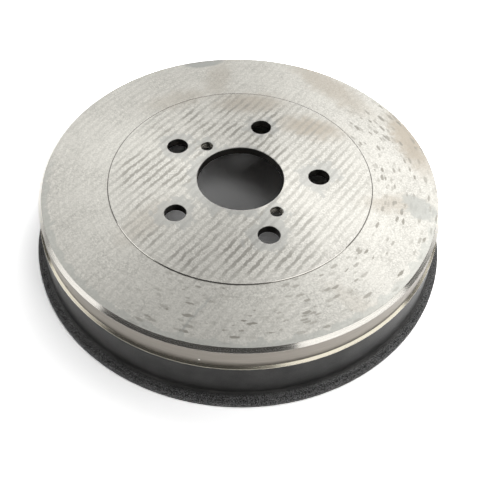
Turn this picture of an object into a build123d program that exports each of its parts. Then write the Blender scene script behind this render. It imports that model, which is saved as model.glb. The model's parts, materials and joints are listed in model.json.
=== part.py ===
from build123d import *
import os
from math import radians, tan

# A brake drum for a five-stud hub: one grey iron casting, turned where it meets the hub,
# the wheel and the shoes, and left as cast on its outer wall and inside the corner.
# The origin is the centre of the open end, in the plane that the drum stands on.
# +Z runs along the axle to the closed face, and +X runs through a stud hole.

# Driving sizes, in millimetres and degrees.

# The closed face, which the wheel clamps against the hub.
overall_height = 48.2
web_thickness = 5.5  # between the wheel seat and the hub seat
wheel_seat_diameter = 167.0
wheel_seat_step = 0.4  # the seat stands this far above the rest of the face
hub_seat_diameter = 152.0
hub_seat_depth = 0.5  # the seat is turned this deep into the cast floor

# The shoe track, turned inside the open end.
track_diameter = 228.6
mouth_bevel = 3.0
relief_depth = 1.5  # the corner behind the track is wider than the track
relief_width = 4.5
floor_fillet = 2.5

# The outside, from the closed face down to the open end.
face_chamfer = 2.2
band_wall = 11.8  # from the shoe track out to the turned band
band_depth = 16.7  # from the wheel seat down to the outer edge of the shoulder
band_root_fillet = 0.3
shoulder_width = 1.6
shoulder_slope = 32.0  # the shoulder is turned as a cone that falls away outwards
shoulder_edge_radius = 0.3
cast_draft = 2.0
lip_overhang = 5.8
lip_thickness = 3.8
lip_slope = 12.0
lip_root_fillet = 4.0
lip_edge_radius = 2.5
lip_foot_radius = 0.5

# The holes through the web.
pilot_diameter = 55.0
pilot_chamfer = 0.4
stud_circle_diameter = 100.0
stud_count = 5
stud_hole_diameter = 13.5
stud_hole_chamfer = 0.2
jack_thread_diameter = 8.0
jack_hole_count = 2
jack_hole_chamfer = 0.2
jack_hole_land = 4.5  # metal between the pilot bore and each jacking hole

# Heights and radii that follow.
face_z = overall_height - wheel_seat_step
hub_seat_z = overall_height - web_thickness
floor_z = hub_seat_z - hub_seat_depth
relief_z = floor_z - relief_width
shoulder_z = overall_height - band_depth
band_root_z = shoulder_z + shoulder_width * tan(radians(shoulder_slope))
lip_root_z = lip_thickness + lip_overhang * tan(radians(lip_slope))

track_radius = track_diameter / 2
relief_radius = track_radius + relief_depth
band_radius = track_radius + band_wall
shoulder_radius = band_radius + shoulder_width
wall_foot_radius = shoulder_radius + (shoulder_z - lip_root_z) * tan(radians(cast_draft))
lip_radius = wall_foot_radius + lip_overhang

stud_spacing = 360 / stud_count
jack_circle_radius = pilot_diameter / 2 + jack_hole_land + jack_thread_diameter / 2
first_jack_angle = 2 * stud_spacing - stud_spacing / 4


def drum_body():
    """The turned and cast section, swept once round the axle, before the holes are made."""
    corners = [  # radius, height, rounding
        (0, hub_seat_z, 0),
        (hub_seat_diameter / 2, hub_seat_z, 0),
        (hub_seat_diameter / 2, floor_z, 0),
        (relief_radius, floor_z, floor_fillet),
        (relief_radius, relief_z + relief_depth, 0),
        (track_radius, relief_z, 0),
        (track_radius, mouth_bevel, 0),
        (track_radius + mouth_bevel, 0, 0),
        (lip_radius, 0, lip_foot_radius),
        (lip_radius, lip_thickness, lip_edge_radius),
        (wall_foot_radius, lip_root_z, lip_root_fillet),
        (shoulder_radius, shoulder_z, shoulder_edge_radius),
        (band_radius, band_root_z, band_root_fillet),
        (band_radius, face_z - face_chamfer, 0),
        (band_radius - face_chamfer, face_z, 0),
        (wheel_seat_diameter / 2, face_z, 0),
        (wheel_seat_diameter / 2, overall_height, 0),
        (0, overall_height, 0),
    ]
    points = [(radius, height) for radius, height, _ in corners]
    roundings = [rounding for _, _, rounding in corners]
    outline = FilletPolyline(*points, radius=roundings, close=True)
    return revolve(Plane.XZ * make_face(outline), Axis.Z)


def web_hole(diameter, chamfer):
    """What a drill removes through the web at the seats, with both edges of the hole chamfered."""
    past = 1.0  # the tool runs this far beyond both seats
    wall_radius = diameter / 2
    tool_radius = wall_radius + chamfer + past
    outline = Polyline(
        (0, hub_seat_z - past),
        (tool_radius, hub_seat_z - past),
        (wall_radius, hub_seat_z + chamfer),
        (wall_radius, overall_height - chamfer),
        (tool_radius, overall_height + past),
        (0, overall_height + past),
        close=True,
    )
    return revolve(Plane.XZ * make_face(outline), Axis.Z)


stud_places = PolarLocations(stud_circle_diameter / 2, stud_count)
jack_places = PolarLocations(jack_circle_radius, jack_hole_count, first_jack_angle)

brake_drum = drum_body() - web_hole(pilot_diameter, pilot_chamfer)
brake_drum -= stud_places * web_hole(stud_hole_diameter, stud_hole_chamfer)
brake_drum -= jack_places * web_hole(jack_thread_diameter, jack_hole_chamfer)

os.makedirs("parts", exist_ok=True)
export_step(brake_drum, "parts/brake_drum.step")

print(f"overall diameter {2 * lip_radius:.2f}, shoe track {relief_z - mouth_bevel:.2f} wide")
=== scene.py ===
import json
from math import cos, pi, radians, sin

import bpy
from mathutils import Matrix, Vector


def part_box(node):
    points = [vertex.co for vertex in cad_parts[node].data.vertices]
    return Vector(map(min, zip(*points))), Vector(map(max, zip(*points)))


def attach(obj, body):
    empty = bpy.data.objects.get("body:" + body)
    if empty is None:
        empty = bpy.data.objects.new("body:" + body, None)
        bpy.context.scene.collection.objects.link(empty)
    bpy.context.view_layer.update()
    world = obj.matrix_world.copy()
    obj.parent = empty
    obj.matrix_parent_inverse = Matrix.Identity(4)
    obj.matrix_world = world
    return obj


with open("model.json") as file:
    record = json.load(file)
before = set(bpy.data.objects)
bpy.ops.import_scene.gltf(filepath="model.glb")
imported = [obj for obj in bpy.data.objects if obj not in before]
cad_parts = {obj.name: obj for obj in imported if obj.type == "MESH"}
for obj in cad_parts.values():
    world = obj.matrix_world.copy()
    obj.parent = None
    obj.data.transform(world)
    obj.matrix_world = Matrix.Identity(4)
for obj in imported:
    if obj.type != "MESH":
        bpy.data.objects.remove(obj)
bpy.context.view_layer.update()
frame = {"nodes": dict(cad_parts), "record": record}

MM = 0.001

# ---- Sizes of the drum, in millimetres, with its origin at the centre of the open end

mounts = {mount["name"]: mount for mount in frame["record"]["mounts"]}
seat_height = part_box("brake_drum")[1].z / MM
hub_seat_height = mounts["hub_seat"]["pos_m"][2] / MM
pilot_radius = mounts["pilot_bore"]["dims"]["r_mm"]
track_radius = mounts["shoe_track"]["dims"]["r_mm"]
stud_circle_radius = mounts["stud_holes"]["dims"]["pcd_mm"] / 2
stud_hole_radius = mounts["stud_holes"]["dims"]["hole_r_mm"]
stud_count = mounts["stud_holes"]["dims"]["count"]
jack_hole_places = [Vector(mounts[name]["pos_m"]) / MM for name in ("jack_hole_a", "jack_hole_b")]
jack_thread_radius = mounts["jack_hole_a"]["dims"]["r_mm"]
jack_thread_pitch = 1.25  # the coarse pitch of an M8 thread

face_height = 47.8  # the closed face outside the raised wheel seat
wheel_seat_radius = 83.5
face_radius = 123.9  # where the chamfer round the face begins
band_radius = 126.1  # the turned band under that chamfer
chamfer_foot_height = face_height - (band_radius - face_radius)
band_root_height = 32.5  # the shoulder under the band falls away outwards from here
shoulder_height = 31.5
shoulder_radius = 127.7
wall_foot_radius = 128.6  # where the cast wall runs out into the lip
hub_seat_radius = 76.0
relief_radius = 115.8  # the corner behind the shoe track
track_end_height = 37.7
past_all = 200.0  # further out, and higher, than any point of the drum


# ---- Helpers


def linear(colour):
    """The linear red, green, blue and alpha of an sRGB hex colour."""
    shares = [int(colour[i : i + 2], 16) / 255 for i in (0, 2, 4)]
    return [s / 12.92 if s <= 0.04045 else ((s + 0.055) / 1.055) ** 2.4 for s in shares] + [1.0]


def add(tree, kind, inputs=None, **settings):
    """Adds a node with its settings. Values or nodes fill its inputs, by name or number."""
    made = tree.nodes.new(kind)
    for name, value in settings.items():
        setattr(made, name, value)
    for key, value in (inputs or {}).items():
        named = [s for s in made.inputs if s.enabled and s.name == key]
        socket = named[0] if named else made.inputs[key]
        if isinstance(value, bpy.types.Node):
            value = next(s for s in value.outputs if s.enabled)
        if isinstance(value, bpy.types.NodeSocket):
            tree.links.new(value, socket)
        else:
            socket.default_value = value
    return made


def linked(data, name):
    """A new object in the scene."""
    made = bpy.data.objects.new(name, data)
    bpy.context.scene.collection.objects.link(made)
    return made


# ---- Camera, hand-held in front of the drum and above it

camera_place = Vector((-17.2, -311.5, 364.0)) * MM
camera_aim = Vector((-1.92, -51.34, 48.2)) * MM
camera_roll = radians(2.01)
image_side_px = 480.0
focal_length_px = 697.8

camera_data = bpy.data.cameras.new("camera")
camera_data.sensor_width = 36.0
camera_data.lens = focal_length_px / image_side_px * camera_data.sensor_width
camera = linked(camera_data, "camera")
looking = (camera_aim - camera_place).to_track_quat("-Z", "Y").to_matrix().to_4x4()
rolled = Matrix.Rotation(camera_roll, 4, "Z")
camera.matrix_world = Matrix.Translation(camera_place) @ looking @ rolled
bpy.context.scene.camera = camera


# ---- The floor, the lamps and the room


def pale_floor():
    """A sheet of matt white paper, rolled out far wider than the drum.

    The eye, and the metal, see it over white outside the drum, so that it keeps only the shadow.
    Under the drum it is not seen over white, a painted shadow on top of the little light that comes
    in through the holes.
    """
    side = 8.0
    over_white = [2.35, 2.35, 2.35, 1.0]
    over_white_under_drum = 0.2  # the share of that which the covered paper gets
    mesh = bpy.data.meshes.new("floor")
    corners = [(x * side / 2, y * side / 2, 0) for x, y in ((-1, -1), (1, -1), (1, 1), (-1, 1))]
    mesh.from_pydata(corners, [], [(0, 1, 2, 3)])
    material = bpy.data.materials.new("white sweep paper")
    material.use_nodes = True
    tree = material.node_tree
    tree.nodes.clear()
    path = add(tree, "ShaderNodeLightPath").outputs
    seen = add(tree, "ShaderNodeMath", {0: path["Is Camera Ray"], 1: path["Is Glossy Ray"]},
               operation="MAXIMUM")
    seen = add(tree, "ShaderNodeMath", {0: seen, 1: path["Is Transmission Ray"]},
               operation="MAXIMUM")
    place = add(tree, "ShaderNodeTexCoord").outputs["Object"]
    from_axle = add(tree, "ShaderNodeVectorMath", {0: place}, operation="LENGTH")
    # Painted shadow: the paper under the drum is seen darker than its light alone makes it.
    uncovered = add(tree, "ShaderNodeMapRange", {
        "Value": from_axle, "From Min": track_radius * MM, "From Max": shoulder_radius * MM,
        "To Min": over_white_under_drum,
    })
    seen = add(tree, "ShaderNodeMath", {0: seen, 1: uncovered}, operation="MULTIPLY")
    colour = add(tree, "ShaderNodeMix", {"Factor": seen, "A": linear("E0E0E0"), "B": over_white},
                 data_type="RGBA")
    paper = add(tree, "ShaderNodeBsdfDiffuse", {"Color": colour})
    add(tree, "ShaderNodeOutputMaterial", {"Surface": paper})
    mesh.materials.append(material)
    linked(mesh, "floor")


def softbox(name, azimuth, elevation, distance, width, height, radiance):
    """A rectangular lamp that faces the drum.

    It stands so many degrees round from +X and above the floor. Its sizes are in metres.
    """
    lamp = bpy.data.lights.new(name, "AREA")
    lamp.shape = "RECTANGLE"
    lamp.size = width
    lamp.size_y = height
    lamp.energy = radiance * pi * width * height
    turn, rise = radians(azimuth), radians(elevation)
    direction = Vector((cos(turn) * cos(rise), sin(turn) * cos(rise), sin(rise)))
    box = linked(lamp, name)
    facing = direction.to_track_quat("Z", "Y").to_matrix().to_4x4()
    box.matrix_world = Matrix.Translation(direction * distance) @ facing


def room():
    """The air of the studio: a pale horizon, and a dark room above it."""
    horizon_top, room_foot = radians(3), radians(14)
    world = bpy.data.worlds.new("studio room")
    bpy.context.scene.world = world
    world.use_nodes = True
    tree = world.node_tree
    tree.nodes.clear()
    way = add(tree, "ShaderNodeTexCoord").outputs["Generated"]
    rise = add(tree, "ShaderNodeSeparateXYZ", {"Vector": way}).outputs["Z"]
    share = add(tree, "ShaderNodeMapRange", {
        "Value": rise, "From Min": sin(horizon_top), "From Max": sin(room_foot),
    }, interpolation_type="SMOOTHSTEP")
    colour = add(tree, "ShaderNodeMix", {
        "Factor": share, "A": linear("A8A8A8"), "B": linear("565656"),
    }, data_type="RGBA")
    sky = add(tree, "ShaderNodeBackground", {"Color": colour, "Strength": 1.0})
    add(tree, "ShaderNodeOutputWorld", {"Surface": sky})


pale_floor()
room()
softbox("key_right", azimuth=42, elevation=43, distance=0.75,
        width=1.05, height=0.60, radiance=1.2)
softbox("strip_front_right", azimuth=-37, elevation=33, distance=0.8,
        width=0.76, height=0.60, radiance=1.6)
softbox("back_wide", azimuth=86, elevation=46, distance=1.5,
        width=2.0, height=1.3, radiance=1.22)
softbox("front_high", azimuth=-58, elevation=66, distance=1.2,
        width=0.42, height=0.30, radiance=2.6)
softbox("side_left", azimuth=186, elevation=22, distance=1.0,
        width=0.62, height=0.50, radiance=1.45)

bpy.context.scene.view_settings.view_transform = "Standard"


# ---- Surfaces of the casting
#
# A finish is a set of named values or sockets: colour, metallic, roughness, grooves (how strongly
# its tool lines spread a reflection) and relief (its height in millimetres). Every finish is laid
# over the one before, by the share of a zone or of a mark.


def drum_ways(tree):
    """Where a point of the drum is, in millimetres, in the ways its marks and tool lines follow."""
    place = add(tree, "ShaderNodeTexCoord").outputs["Object"]
    place = add(tree, "ShaderNodeVectorMath", {0: place, "Scale": 1 / MM}, operation="SCALE")
    flat = add(tree, "ShaderNodeVectorMath", {0: place, 1: (1, 1, 0)}, operation="MULTIPLY")
    radius = add(tree, "ShaderNodeVectorMath", {0: flat}, operation="LENGTH")
    height = add(tree, "ShaderNodeSeparateXYZ", {"Vector": place}).outputs["Z"]
    # A tool line runs round the axle. Out over the face and down the outside, this only grows.
    outward = add(tree, "ShaderNodeMath", {0: radius, 1: height}, operation="SUBTRACT")
    round_axle = add(tree, "ShaderNodeVectorMath", {0: flat}, operation="NORMALIZE")
    lift = add(tree, "ShaderNodeCombineXYZ", {"Z": outward})
    turned = add(tree, "ShaderNodeVectorMath", {0: round_axle, 1: lift}, operation="ADD")
    # Noise is cut aslant, so that its grid doesn't show on a flat face.
    aslant = add(tree, "ShaderNodeMapping", {"Vector": flat, "Rotation": (0.6, 0.4, 0.9)})
    return {"place": place, "flat": flat, "aslant": aslant,
            "radius": radius, "height": height, "turned": turned}


def ring_zone(tree, drum, radii, heights, run_out=0.0):
    """The share, 0 or 1, of a ring of the drum between two radii and two heights.

    Its upper and lower edges may run out by so many millimetres.
    """
    near, far = radii
    low, high = heights
    level = add(tree, "ShaderNodeMath", {0: drum["height"], 1: run_out}, operation="ADD")
    across = add(tree, "ShaderNodeMath", {
        0: drum["radius"], 1: (near + far) / 2, 2: (far - near) / 2,
    }, operation="COMPARE")
    along = add(tree, "ShaderNodeMath", {0: level, 1: (low + high) / 2, 2: (high - low) / 2},
                operation="COMPARE")
    return add(tree, "ShaderNodeMath", {0: across, 1: along}, operation="MULTIPLY")


def laid_over(tree, under, over, share):
    """A finish with another over it. What the upper one says nothing of stays as it is."""
    made = dict(under)
    for name, value in over.items():
        made[name] = add(tree, "ShaderNodeMix", {"Factor": share, "A": under[name], "B": value},
                         data_type="RGBA" if name == "colour" else "FLOAT")
    return made


def turned_iron(tree, drum, colour, shade, roughness, line_mm, line_depth_mm):
    """Bare grey iron as a lathe tool leaves it: fine lines round the axle that differ in tone.

    A tool leaves its lines about 0.2 mm apart, which is too fine to show, so they are drawn
    about as wide as line_mm says.
    """
    turns_of_tone = 3.5  # how quickly a line changes along its way round
    duller, glossier = 0.05, 0.03
    stretch = add(tree, "ShaderNodeVectorMath", {
        0: drum["turned"], 1: (turns_of_tone, turns_of_tone, 1 / line_mm),
    }, operation="MULTIPLY")
    lines = add(tree, "ShaderNodeTexNoise", {
        "Vector": stretch, "Scale": 1.0, "Detail": 3.0, "Roughness": 0.6,
    })
    tone = add(tree, "ShaderNodeMapRange", {"Value": lines, "From Min": 0.3, "From Max": 0.7})
    relief = add(tree, "ShaderNodeMath", {0: lines, 1: line_depth_mm}, operation="MULTIPLY")
    gloss = add(tree, "ShaderNodeMapRange", {
        "Value": lines, "From Min": 0.3, "From Max": 0.7,
        "To Min": roughness - glossier, "To Max": roughness + duller,
    })
    return {
        "colour": add(tree, "ShaderNodeMix", {
            "Factor": tone, "A": linear(shade), "B": linear(colour),
        }, data_type="RGBA"),
        "metallic": 1.0,
        "roughness": gloss,
        "grooves": 0.8,
        "relief": relief,
    }


def cast_skin(tree, drum):
    """The skin that the sand mould left: charcoal grey oxide, satin on the wall, gritty on the lip.

    Moulding sand has grains of about 0.25 mm. They are drawn twice as wide, so that they show.
    """
    sand_mm, swell_mm = 0.5, 14
    lip_start, lip_full = wall_foot_radius + 0.4, wall_foot_radius + 2.9
    wall_depth_mm, more_on_lip_mm = 0.05, 0.02
    wall_roughness, rougher_on_lip = 0.42, 0.4
    sand = add(tree, "ShaderNodeTexNoise", {
        "Vector": drum["place"], "Scale": 1 / sand_mm, "Detail": 2.0, "Roughness": 0.6,
    })
    swell = add(tree, "ShaderNodeTexNoise", {
        "Vector": drum["place"], "Scale": 1 / swell_mm, "Detail": 2.0,
    })
    tone = add(tree, "ShaderNodeMath", {0: sand, 1: swell}, operation="ADD")
    tone = add(tree, "ShaderNodeMapRange", {"Value": tone, "From Min": 0.75, "From Max": 1.25})
    colour = add(tree, "ShaderNodeMix", {
        "Factor": tone, "A": linear("1F1F1E"), "B": linear("373635"),
    }, data_type="RGBA")
    on_lip = add(tree, "ShaderNodeMapRange", {
        "Value": drum["radius"], "From Min": lip_start, "From Max": lip_full,
    })
    specks = add(tree, "ShaderNodeMapRange", {"Value": sand, "From Min": 0.42, "From Max": 0.64})
    specks = add(tree, "ShaderNodeMath", {0: specks, 1: on_lip}, operation="MULTIPLY")
    colour = add(tree, "ShaderNodeMix", {"Factor": specks, "A": colour, "B": linear("9C9C9C")},
                 data_type="RGBA")
    depth = add(tree, "ShaderNodeMath", {0: on_lip, 1: more_on_lip_mm, 2: wall_depth_mm},
                operation="MULTIPLY_ADD")
    return {
        "colour": colour,
        "metallic": 0.85,
        "roughness": add(tree, "ShaderNodeMath", {
            0: on_lip, 1: rougher_on_lip, 2: wall_roughness,
        }, operation="MULTIPLY_ADD"),
        "grooves": 0.0,
        "relief": add(tree, "ShaderNodeMath", {0: sand, 1: depth}, operation="MULTIPLY"),
    }


def quench_stripes(tree, drum):
    """Dried streaks across the closed face, all one way and frayed.

    They are faint in places, towards the right and outside the wheel seat.
    """
    spacing_mm, way = 5.2, radians(51)
    fray_mm, patches_mm = 2.6, 22
    wave_at_scale_one = pi / 10  # the width of one wave of the Wave texture at Scale 1
    slanted = add(tree, "ShaderNodeMapping", {
        "Vector": drum["flat"], "Rotation": (0, 0, way + radians(90)),
    }, vector_type="TEXTURE")
    bands = add(tree, "ShaderNodeTexWave", {
        "Vector": slanted, "Scale": wave_at_scale_one / spacing_mm,
        "Distortion": 2.2, "Detail": 3.0, "Detail Scale": 1.1, "Detail Roughness": 0.6,
    }, wave_type="BANDS", bands_direction="X", wave_profile="SIN")
    fray = add(tree, "ShaderNodeTexNoise", {
        "Vector": drum["aslant"], "Scale": 1 / fray_mm, "Detail": 6.0, "Roughness": 0.78,
    })
    bands = add(tree, "ShaderNodeMath", {0: fray, 1: 2.2, 2: bands}, operation="MULTIPLY_ADD")
    lines = add(tree, "ShaderNodeMapRange", {"Value": bands, "From Min": 1.66, "From Max": 1.90})
    patches = add(tree, "ShaderNodeTexNoise", {
        "Vector": drum["aslant"], "Scale": 1 / patches_mm, "Detail": 3.0,
    })
    strength = add(tree, "ShaderNodeMapRange", {
        "Value": patches, "From Min": 0.40, "From Max": 0.58, "To Min": 0.35, "To Max": 1.0,
    })
    outer = add(tree, "ShaderNodeMapRange", {
        "Value": drum["radius"], "From Min": wheel_seat_radius - 10,
        "From Max": wheel_seat_radius + 3, "To Min": 1.0, "To Max": 0.22,
    })
    strength = add(tree, "ShaderNodeMath", {0: strength, 1: outer}, operation="MULTIPLY")
    rightwards = add(tree, "ShaderNodeSeparateXYZ", {"Vector": drum["place"]}).outputs["X"]
    faint_right = add(tree, "ShaderNodeMapRange", {
        "Value": rightwards, "From Min": 25, "From Max": 75, "To Min": 1.0, "To Max": 0.45,
    })
    strength = add(tree, "ShaderNodeMath", {0: strength, 1: faint_right}, operation="MULTIPLY")
    return add(tree, "ShaderNodeMath", {0: lines, 1: strength}, operation="MULTIPLY")


def dried_veins(tree, drum):
    """Fine wandering lines that a drying film left all over the closed face, in patches."""
    veins_mm, patches_mm = 3.2, 18
    film = add(tree, "ShaderNodeTexNoise", {
        "Vector": drum["aslant"], "Scale": 1 / veins_mm, "Detail": 3.0, "Roughness": 0.65,
    })
    # A vein lies wherever the noise passes its middle value.
    off_line = add(tree, "ShaderNodeMath", {0: film, 1: 0.5}, operation="SUBTRACT")
    off_line = add(tree, "ShaderNodeMath", {0: off_line}, operation="ABSOLUTE")
    lines = add(tree, "ShaderNodeMapRange", {
        "Value": off_line, "From Min": 0.035, "From Max": 0.01,
    })
    patches = add(tree, "ShaderNodeTexNoise", {
        "Vector": drum["aslant"], "Scale": 1 / patches_mm, "Detail": 3.0,
    })
    strength = add(tree, "ShaderNodeMapRange", {
        "Value": patches, "From Min": 0.42, "From Max": 0.60, "To Min": 0.1, "To Max": 0.75,
    })
    return add(tree, "ShaderNodeMath", {0: lines, 1: strength}, operation="MULTIPLY")


def wiped_rings(tree, drum):
    """A plain grey ring round the bore and round each hole of the closed face, with no streaks."""
    bore_ring_middle, bore_ring_width = Vector((-3, -1, 0)), 2.5
    jack_ring_width = 3.5
    stud_ring_widths = (6.5, 2.5, 4.5, 5.5, 6.5)
    lobes_mm, ragged_mm = 8, 30.0  # how wide the edge's lobes are, and how far they can reach
    outer_fade, inner_fade = 0.8, 0.6
    strength = 0.7
    ragged = add(tree, "ShaderNodeTexNoise", {
        "Vector": drum["aslant"], "Scale": 1 / lobes_mm, "Detail": 5.0, "Roughness": 0.62,
    })
    rings = [(bore_ring_middle, pilot_radius + bore_ring_width)]
    rings += [(Vector((place.x, place.y, 0)), jack_thread_radius + jack_ring_width)
              for place in jack_hole_places]
    for number in range(stud_count):
        turn = radians(360 / stud_count * number)
        middle = Vector((cos(turn), sin(turn), 0)) * stud_circle_radius
        rings.append((middle, stud_hole_radius + stud_ring_widths[number]))
    share = 0.0
    for middle, reach in rings:
        away = add(tree, "ShaderNodeVectorMath", {0: drum["flat"], 1: middle},
                   operation="DISTANCE")
        away = add(tree, "ShaderNodeMath", {0: ragged, 1: ragged_mm, 2: away},
                   operation="MULTIPLY_ADD")
        mean_edge = reach + ragged_mm / 2
        near = add(tree, "ShaderNodeMapRange", {
            "Value": away, "From Min": mean_edge + outer_fade, "From Max": mean_edge - inner_fade,
        })
        share = add(tree, "ShaderNodeMath", {0: near, 1: share}, operation="MAXIMUM")
    return add(tree, "ShaderNodeMath", {0: share, 1: strength}, operation="MULTIPLY")


def patch(tree, drum, x, y, length, width, turn, edge, ragged_mm):
    """The share of one ragged patch on the closed face, with an edge as soft as it says."""
    lobes_mm = 6
    rough = add(tree, "ShaderNodeTexNoise", {
        "Vector": drum["aslant"], "Scale": 1 / lobes_mm, "Detail": 5.0, "Roughness": 0.65,
    })
    # From -0.5 to 0.5 each way, so that twice ragged_mm moves the edge by ragged_mm at most.
    rough = add(tree, "ShaderNodeVectorMath", {0: rough.outputs["Color"], 1: (0.5, 0.5, 0.5)},
                operation="SUBTRACT")
    rough = add(tree, "ShaderNodeVectorMath", {0: rough, "Scale": ragged_mm * 2},
                operation="SCALE")
    spot = add(tree, "ShaderNodeVectorMath", {0: drum["flat"], 1: rough}, operation="ADD")
    spot = add(tree, "ShaderNodeVectorMath", {0: spot, 1: (1, 1, 0)}, operation="MULTIPLY")
    spot = add(tree, "ShaderNodeMapping", {
        "Vector": spot, "Location": (x, y, 0), "Rotation": (0, 0, radians(turn)),
        "Scale": (length / 2, width / 2, 1),
    }, vector_type="TEXTURE")
    away = add(tree, "ShaderNodeVectorMath", {0: spot}, operation="LENGTH")
    return add(tree, "ShaderNodeMapRange", {
        "Value": away, "From Min": 1 + edge, "From Max": 1 - edge,
    }, interpolation_type="SMOOTHSTEP")


def pooled_dashes(tree, drum):
    """Dried drops on the outer face, 2 to 4 mm long and about 1 mm wide, along the tool lines."""
    ring_radius = 104.0  # the middle of the outer face, where the cells have their true length
    cell_length, cell_width = 7.5, 2.6
    fray_mm = 1.6
    front_right = (0.75, -0.66, 0)
    fray = add(tree, "ShaderNodeTexNoise", {
        "Vector": drum["aslant"], "Scale": 1 / fray_mm, "Detail": 3.0,
    })
    cells_round = ring_radius / cell_length
    stretch = add(tree, "ShaderNodeVectorMath", {
        0: drum["turned"], 1: (cells_round, cells_round, 1 / cell_width),
    }, operation="MULTIPLY")
    drops = add(tree, "ShaderNodeTexVoronoi", {"Vector": stretch, "Scale": 1.0, "Randomness": 1.0},
                feature="F1")
    chance = add(tree, "ShaderNodeSeparateColor", {"Color": drops.outputs["Color"]}).outputs
    away = add(tree, "ShaderNodeMath", {0: fray, 1: 0.5, 2: drops.outputs["Distance"]},
               operation="MULTIPLY_ADD")
    away = add(tree, "ShaderNodeMath", {0: chance["Red"], 1: 0.16, 2: away},
               operation="MULTIPLY_ADD")
    marks = add(tree, "ShaderNodeMapRange", {"Value": away, "From Min": 0.75, "From Max": 0.62})
    depth = add(tree, "ShaderNodeMapRange", {
        "Value": chance["Green"], "From Min": 0.2, "From Max": 1.0,
    })
    # They lie on the right and at the front, outside the wheel seat.
    side = add(tree, "ShaderNodeVectorMath", {0: drum["flat"], 1: front_right},
               operation="DOT_PRODUCT")
    side = add(tree, "ShaderNodeMapRange", {"Value": side, "From Min": 0, "From Max": 30})
    outside = add(tree, "ShaderNodeMapRange", {
        "Value": drum["radius"], "From Min": wheel_seat_radius - 6,
        "From Max": wheel_seat_radius + 6,
    })
    share = add(tree, "ShaderNodeMath", {0: side, 1: outside}, operation="MULTIPLY")
    share = add(tree, "ShaderNodeMath", {0: share, 1: depth}, operation="MULTIPLY")
    return add(tree, "ShaderNodeMath", {0: marks, 1: share}, operation="MULTIPLY")


def rim_film(tree, drum):
    """A film of oil along the rim of the face, from the left round the front to the right."""
    film_width, lobes_mm, ragged_mm = 4.6, 9, 16.0
    strength = 0.6
    to_front = (-0.2, -0.98, 0)
    ragged = add(tree, "ShaderNodeTexNoise", {
        "Vector": drum["aslant"], "Scale": 1 / lobes_mm, "Detail": 4.0, "Roughness": 0.6,
    })
    edge = add(tree, "ShaderNodeMath", {0: ragged, 1: ragged_mm, 2: drum["radius"]},
               operation="MULTIPLY_ADD")
    film_start = face_radius - film_width + ragged_mm / 2
    film = add(tree, "ShaderNodeMapRange", {
        "Value": edge, "From Min": film_start, "From Max": film_start + 1,
    })
    front = add(tree, "ShaderNodeVectorMath", {0: drum["flat"], 1: to_front},
                operation="DOT_PRODUCT")
    front = add(tree, "ShaderNodeMapRange", {"Value": front, "From Min": 0, "From Max": 30})
    film = add(tree, "ShaderNodeMath", {0: film, 1: front}, operation="MULTIPLY")
    return add(tree, "ShaderNodeMath", {0: film, 1: strength}, operation="MULTIPLY")


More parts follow.
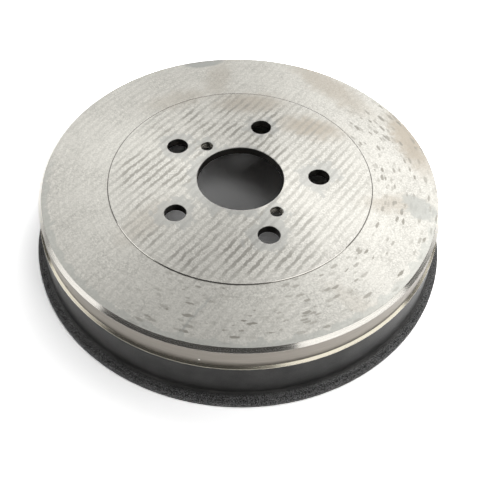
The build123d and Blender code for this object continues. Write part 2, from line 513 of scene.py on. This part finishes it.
def closed_face(tree, drum):
    """The faced end of the drum, with what has dried on it.

    That is a fine mottle and veins, tan bloom, streaks, wiped rings, drops and oil, in this order.
    """
    finish = turned_iron(tree, drum, "D2D0C9", "BDBBB4", 0.40, line_mm=1.1, line_depth_mm=0.006)
    mottle_mm = 1.1
    mottle = add(tree, "ShaderNodeTexNoise", {
        "Vector": drum["aslant"], "Scale": 1 / mottle_mm, "Detail": 4.0, "Roughness": 0.8,
    })
    mottle = add(tree, "ShaderNodeMapRange", {"Value": mottle, "From Min": 0.44, "From Max": 0.66})
    finish = laid_over(tree, finish, {"colour": linear("ABA9A3")}, mottle)
    finish = laid_over(tree, finish, {"colour": linear("9F9D97")}, dried_veins(tree, drum))

    # Each place has its middle's x and y, length, width, turn in degrees and strength.
    tan_places = (
        (66, 92, 74, 19, -52, 0.55), (114, 34, 58, 18, 102, 0.85), (9, 73, 44, 20, 0, 0.6),
        (49, 47, 40, 19, -20, 0.75), (-41, 77, 44, 17, 20, 0.35), (-13, 99, 40, 17, 80, 0.35),
        (94, -23, 34, 14, 0, 0.5), (62, -96, 44, 10, -38, 0.2), (-58, -36, 40, 18, 50, 0.3),
    )
    bloom = 0.0
    for x, y, length, width, turn, strength in tan_places:
        share = patch(tree, drum, x, y, length, width, turn, edge=0.6, ragged_mm=9)
        share = add(tree, "ShaderNodeMath", {0: share, 1: strength}, operation="MULTIPLY")
        bloom = add(tree, "ShaderNodeMath", {0: share, 1: bloom}, operation="MAXIMUM")
    finish = laid_over(tree, finish, {"colour": linear("A0978A")}, bloom)

    streak = {"colour": linear("9A9891"), "roughness": 0.46}
    finish = laid_over(tree, finish, streak, quench_stripes(tree, drum))
    finish = laid_over(tree, finish, {"colour": linear("A5A5A1")}, wiped_rings(tree, drum))
    drop = {"colour": linear("949189"), "roughness": 0.48}
    finish = laid_over(tree, finish, drop, pooled_dashes(tree, drum))

    # The last number of each is how far its edge is ragged.
    oil_places = (
        (-23, 119, 28, 9, 12, 0.9, 3), (109, -27, 25, 15, -62, 0.75, 9),
        (-28, -103, 32, 1.6, 53, 0.55, 2),
    )
    oil = {"colour": linear("989995"), "roughness": 0.34}
    for x, y, length, width, turn, strength, ragged_mm in oil_places:
        share = patch(tree, drum, x, y, length, width, turn, edge=0.2, ragged_mm=ragged_mm)
        share = add(tree, "ShaderNodeMath", {0: share, 1: strength}, operation="MULTIPLY")
        finish = laid_over(tree, finish, oil, share)
    thin_oil = {"colour": linear("A2A39E"), "roughness": 0.34}
    finish = laid_over(tree, finish, thin_oil, rim_film(tree, drum))

    # The corner at the foot of the wheel seat's step is drawn darker.
    corner_top = face_height + 0.05
    corner = ring_zone(tree, drum, (wheel_seat_radius - 0.02, wheel_seat_radius + 0.25),
                       (0, corner_top))
    finish = laid_over(tree, finish, {"colour": linear("8A8882")}, corner)
    # The edge of the step is broken at 45 degrees, and polished, so that it catches the lamps.
    edge_width = 0.45
    step = ring_zone(tree, drum, (wheel_seat_radius - edge_width, wheel_seat_radius + 0.05),
                     (corner_top + 0.01, past_all))
    finish = laid_over(tree, finish, {"colour": linear("D6D3CC"), "roughness": 0.17}, step)
    fall = add(tree, "ShaderNodeMapRange", {
        "Value": drum["radius"], "From Min": wheel_seat_radius - edge_width,
        "From Max": wheel_seat_radius, "To Min": 0.0, "To Max": -edge_width,
    })
    finish["relief"] = add(tree, "ShaderNodeMath", {0: finish["relief"], 1: fall},
                           operation="ADD")
    return finish


def turned_band(tree, drum):
    """The turned rim under the chamfer: satin, with painted shade down towards its root, and one
    nick.
    """
    finish = turned_iron(tree, drum, "958F87", "827D75", 0.34, line_mm=0.9, line_depth_mm=0.006)
    # Painted shade: the band is drawn darker down towards its root, where it reflects the dark
    # shoulder and lip.
    painted_shade_near_root = add(tree, "ShaderNodeMapRange", {
        "Value": drum["height"], "From Min": band_root_height + 4.0,
        "From Max": band_root_height + 0.4, "To Max": 0.75,
    })
    finish = laid_over(tree, finish, {"colour": linear("4A4641")}, painted_shade_near_root)
    # The nick near the front has broken through to bright metal.
    nick_turn, nick_height = radians(258.2), 35.7
    nick_radius, nick_floor = 0.7, 0.4
    nick = Vector((cos(nick_turn) * band_radius, sin(nick_turn) * band_radius, nick_height))
    away = add(tree, "ShaderNodeVectorMath", {0: drum["place"], 1: nick}, operation="DISTANCE")
    nicked = add(tree, "ShaderNodeMapRange", {
        "Value": away, "From Min": nick_radius, "From Max": nick_floor,
    })
    bright = {"colour": linear("F4F1EA"), "roughness": 0.6, "grooves": 0.0}
    return laid_over(tree, finish, bright, nicked)


def grey_iron_casting():
    """Grey iron, sand cast, then turned on its working faces and left bare.

    The cast skin is charcoal and dull. The turned faces are pale metal, and each cut gives its own
    gloss: soft on the closed face, mirror-like on the chamfer and the shoulder, satin on the band
    and the shoe track. Tool lines spread each reflection out across themselves.
    """
    material = bpy.data.materials.new("grey iron, sand cast and turned")
    material.use_nodes = True
    tree = material.node_tree
    tree.nodes.clear()
    drum = drum_ways(tree)

    finish = turned_band(tree, drum)
    top = ring_zone(tree, drum, (0, face_radius), (face_height - 0.6, past_all))
    finish = laid_over(tree, finish, closed_face(tree, drum), top)
    polished = turned_iron(tree, drum, "D6D3CC", "C0BDB6", 0.17, line_mm=0.7, line_depth_mm=0.001)
    chamfer = ring_zone(tree, drum, (face_radius, band_radius + 1),
                        (chamfer_foot_height - 0.05, past_all))
    finish = laid_over(tree, finish, polished, chamfer)
    shoulder_iron = turned_iron(tree, drum, "D0CABA", "B5AF9F", 0.18,
                                line_mm=0.5, line_depth_mm=0.004)
    shoulder = ring_zone(tree, drum, (band_radius + 0.05, past_all),
                         (shoulder_height - 0.3, band_root_height + 0.1))
    finish = laid_over(tree, finish, shoulder_iron, shoulder)

    # The cast skin begins under the shoulder in an uneven line.
    skin = cast_skin(tree, drum)
    waves_mm, uneven_mm = 5, 0.25
    run_out = add(tree, "ShaderNodeTexNoise", {
        "Vector": drum["place"], "Scale": 1 / waves_mm, "Detail": 3.0,
    })
    run_out = add(tree, "ShaderNodeMath", {0: run_out, 1: 0.5}, operation="SUBTRACT")
    run_out = add(tree, "ShaderNodeMath", {0: run_out, 1: uneven_mm}, operation="MULTIPLY")
    outside = ring_zone(tree, drum, (shoulder_radius - 0.3, past_all),
                        (0.2, shoulder_height - 0.15), run_out)
    finish = laid_over(tree, finish, skin, outside)

    # Painted shade: the drilled walls of the holes are drawn dark, for the shade in them. The
    # threads are lighter and glossier, so that they glint.
    in_web = (hub_seat_height + 0.1, seat_height - 0.3)
    drilled = turned_iron(tree, drum, "4A4844", "33322F", 0.40, line_mm=0.5, line_depth_mm=0.006)
    painted_shade_in_holes = ring_zone(tree, drum, (0, wheel_seat_radius - 5), in_web)
    finish = laid_over(tree, finish, drilled, painted_shade_in_holes)
    tapped = {"colour": linear("84817A"), "roughness": 0.18, "grooves": 0.0}
    thread_walls = ring_zone(tree, drum, (pilot_radius + 3, pilot_radius + 14), in_web)
    finish = laid_over(tree, finish, tapped, thread_walls)

    # Painted shade: inside the drum the turned iron is drawn darker, and the floor is left as cast.
    floor_height = hub_seat_height - 0.4
    inside = ring_zone(tree, drum, (0, relief_radius + 0.1), (0.1, floor_height))
    finish = laid_over(tree, finish, {"colour": linear("5C5954")}, inside)
    under_web = ring_zone(tree, drum, (hub_seat_radius + 0.1, relief_radius - 0.2),
                          (track_end_height + 0.2, floor_height))
    finish = laid_over(tree, finish, skin, under_web)

    bump = add(tree, "ShaderNodeBump", {
        "Height": finish["relief"], "Distance": MM, "Strength": 1.0,
    })
    way_of_cut = add(tree, "ShaderNodeTangent", direction_type="RADIAL", axis="Z")
    across_the_cut = 0.25  # a quarter turn, in the socket's unit
    iron = add(tree, "ShaderNodeBsdfPrincipled", {
        "Base Color": finish["colour"],
        "Metallic": finish["metallic"],
        "Roughness": finish["roughness"],
        "Normal": bump,
        "Tangent": way_of_cut,
        "Anisotropic": finish["grooves"],
        "Anisotropic Rotation": across_the_cut,
    })
    add(tree, "ShaderNodeOutputMaterial", {"Surface": iron})
    return material


casting_finish = grey_iron_casting()
frame["nodes"]["brake_drum"].material_slots[0].material = casting_finish


# ---- Threads of the two jacking holes


def thread_tree():
    """Geometry Nodes that wind one thread ridge up the wall of each jacking hole."""
    tree = bpy.data.node_groups.new("internal thread ridges", "GeometryNodeTree")
    sockets = {
        "Wall Radius": "NodeSocketFloat", "Pitch": "NodeSocketFloat", "Turns": "NodeSocketFloat",
        "Ridge Height": "NodeSocketFloat", "Root Width": "NodeSocketFloat",
        "Crest Width": "NodeSocketFloat", "Run Out": "NodeSocketFloat",
        "First Hole": "NodeSocketVector", "Second Hole": "NodeSocketVector",
        "Finish": "NodeSocketMaterial",
    }
    for name, kind in sockets.items():
        tree.interface.new_socket(name, in_out="INPUT", socket_type=kind)
    tree.interface.new_socket("Ridges", in_out="OUTPUT", socket_type="NodeSocketGeometry")
    given = add(tree, "NodeGroupInput").outputs

    # The helix climbs anticlockwise, as a right-hand thread does.
    climb = add(tree, "ShaderNodeMath", {0: given["Pitch"], 1: given["Turns"]},
                operation="MULTIPLY")
    helix = add(tree, "GeometryNodeCurveSpiral", {
        "Resolution": 48, "Rotations": given["Turns"], "Start Radius": given["Wall Radius"],
        "End Radius": given["Wall Radius"], "Height": climb, "Reverse": True,
    })
    helix = add(tree, "GeometryNodeSetCurveNormal", {"Curve": helix}, mode="Z_UP")
    # The ridge is broad at its root, on the helix, and narrow at its crest, towards the axis.
    section = add(tree, "GeometryNodeCurvePrimitiveQuadrilateral", {
        "Height": given["Ridge Height"], "Bottom Width": given["Root Width"],
        "Top Width": given["Crest Width"], "Offset": 0.0,
    }, mode="TRAPEZOID")
    half = add(tree, "ShaderNodeMath", {0: given["Ridge Height"], 1: -0.5}, operation="MULTIPLY")
    inwards = add(tree, "ShaderNodeCombineXYZ", {"X": half})
    section = add(tree, "GeometryNodeTransform", {
        "Geometry": section, "Translation": inwards, "Rotation": (0, 0, radians(90)),
    })
    # It dies away into the wall at both ends.
    along = add(tree, "GeometryNodeSplineParameter").outputs["Factor"]
    from_end = add(tree, "ShaderNodeMath", {0: along, 1: 0.5}, operation="PINGPONG")
    size = add(tree, "ShaderNodeMapRange", {
        "Value": from_end, "From Min": 0.0, "From Max": given["Run Out"],
        "To Min": 0.05, "To Max": 1.0,
    })
    ridge = add(tree, "GeometryNodeCurveToMesh", {
        "Curve": helix, "Profile Curve": section, "Scale": size, "Fill Caps": True,
    })
    holes = add(tree, "GeometryNodeMeshLine", {
        "Count": 2, "Start Location": given["First Hole"], "Offset": given["Second Hole"],
    }, mode="END_POINTS")
    ridges = add(tree, "GeometryNodeInstanceOnPoints", {"Points": holes, "Instance": ridge})
    ridges = add(tree, "GeometryNodeRealizeInstances", {"Geometry": ridges})
    ridges = add(tree, "GeometryNodeSetMaterial", {
        "Geometry": ridges, "Material": given["Finish"],
    })
    add(tree, "NodeGroupOutput", {"Ridges": ridges})
    return tree


def cut_threads(finish):
    """The M8 ridges of both jacking holes as one plain mesh, inside the chamfers of each hole.

    A ridge has the standard metric form: 0.54 of the pitch high, 7/8 of it wide at the root and
    a quarter of it wide at the crest.
    """
    sunk = 0.02  # the root lies this far inside the iron
    run_out_turns = 0.35
    web = seat_height - hub_seat_height
    turns = web / jack_thread_pitch - 1
    bottom = hub_seat_height + jack_thread_pitch / 2
    holes = [Vector((place.x, place.y, bottom)) * MM for place in jack_hole_places]
    sizes = {
        "Wall Radius": (jack_thread_radius + sunk) * MM,
        "Pitch": jack_thread_pitch * MM,
        "Turns": turns,
        "Ridge Height": jack_thread_pitch * 0.54 * MM,
        "Root Width": jack_thread_pitch * 7 / 8 * MM,
        "Crest Width": jack_thread_pitch / 4 * MM,
        "Run Out": run_out_turns / turns,
        "First Hole": holes[0],
        "Second Hole": holes[1],
        "Finish": finish,
    }
    maker = linked(bpy.data.meshes.new("thread maker"), "thread maker")
    ridges = maker.modifiers.new("ridges", "NODES")
    ridges.node_group = thread_tree()
    for socket in ridges.node_group.interface.items_tree:
        if socket.in_out == "INPUT":
            ridges[socket.identifier] = sizes[socket.name]
    shown = bpy.context.evaluated_depsgraph_get()
    mesh = bpy.data.meshes.new_from_object(maker.evaluated_get(shown), depsgraph=shown)
    bpy.data.objects.remove(maker)
    mesh.name = "jack_hole_threads"
    mesh.materials.clear()
    mesh.materials.append(finish)
    threads = linked(mesh, "jack_hole_threads")
    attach(threads, "root")


cut_threads(casting_finish)
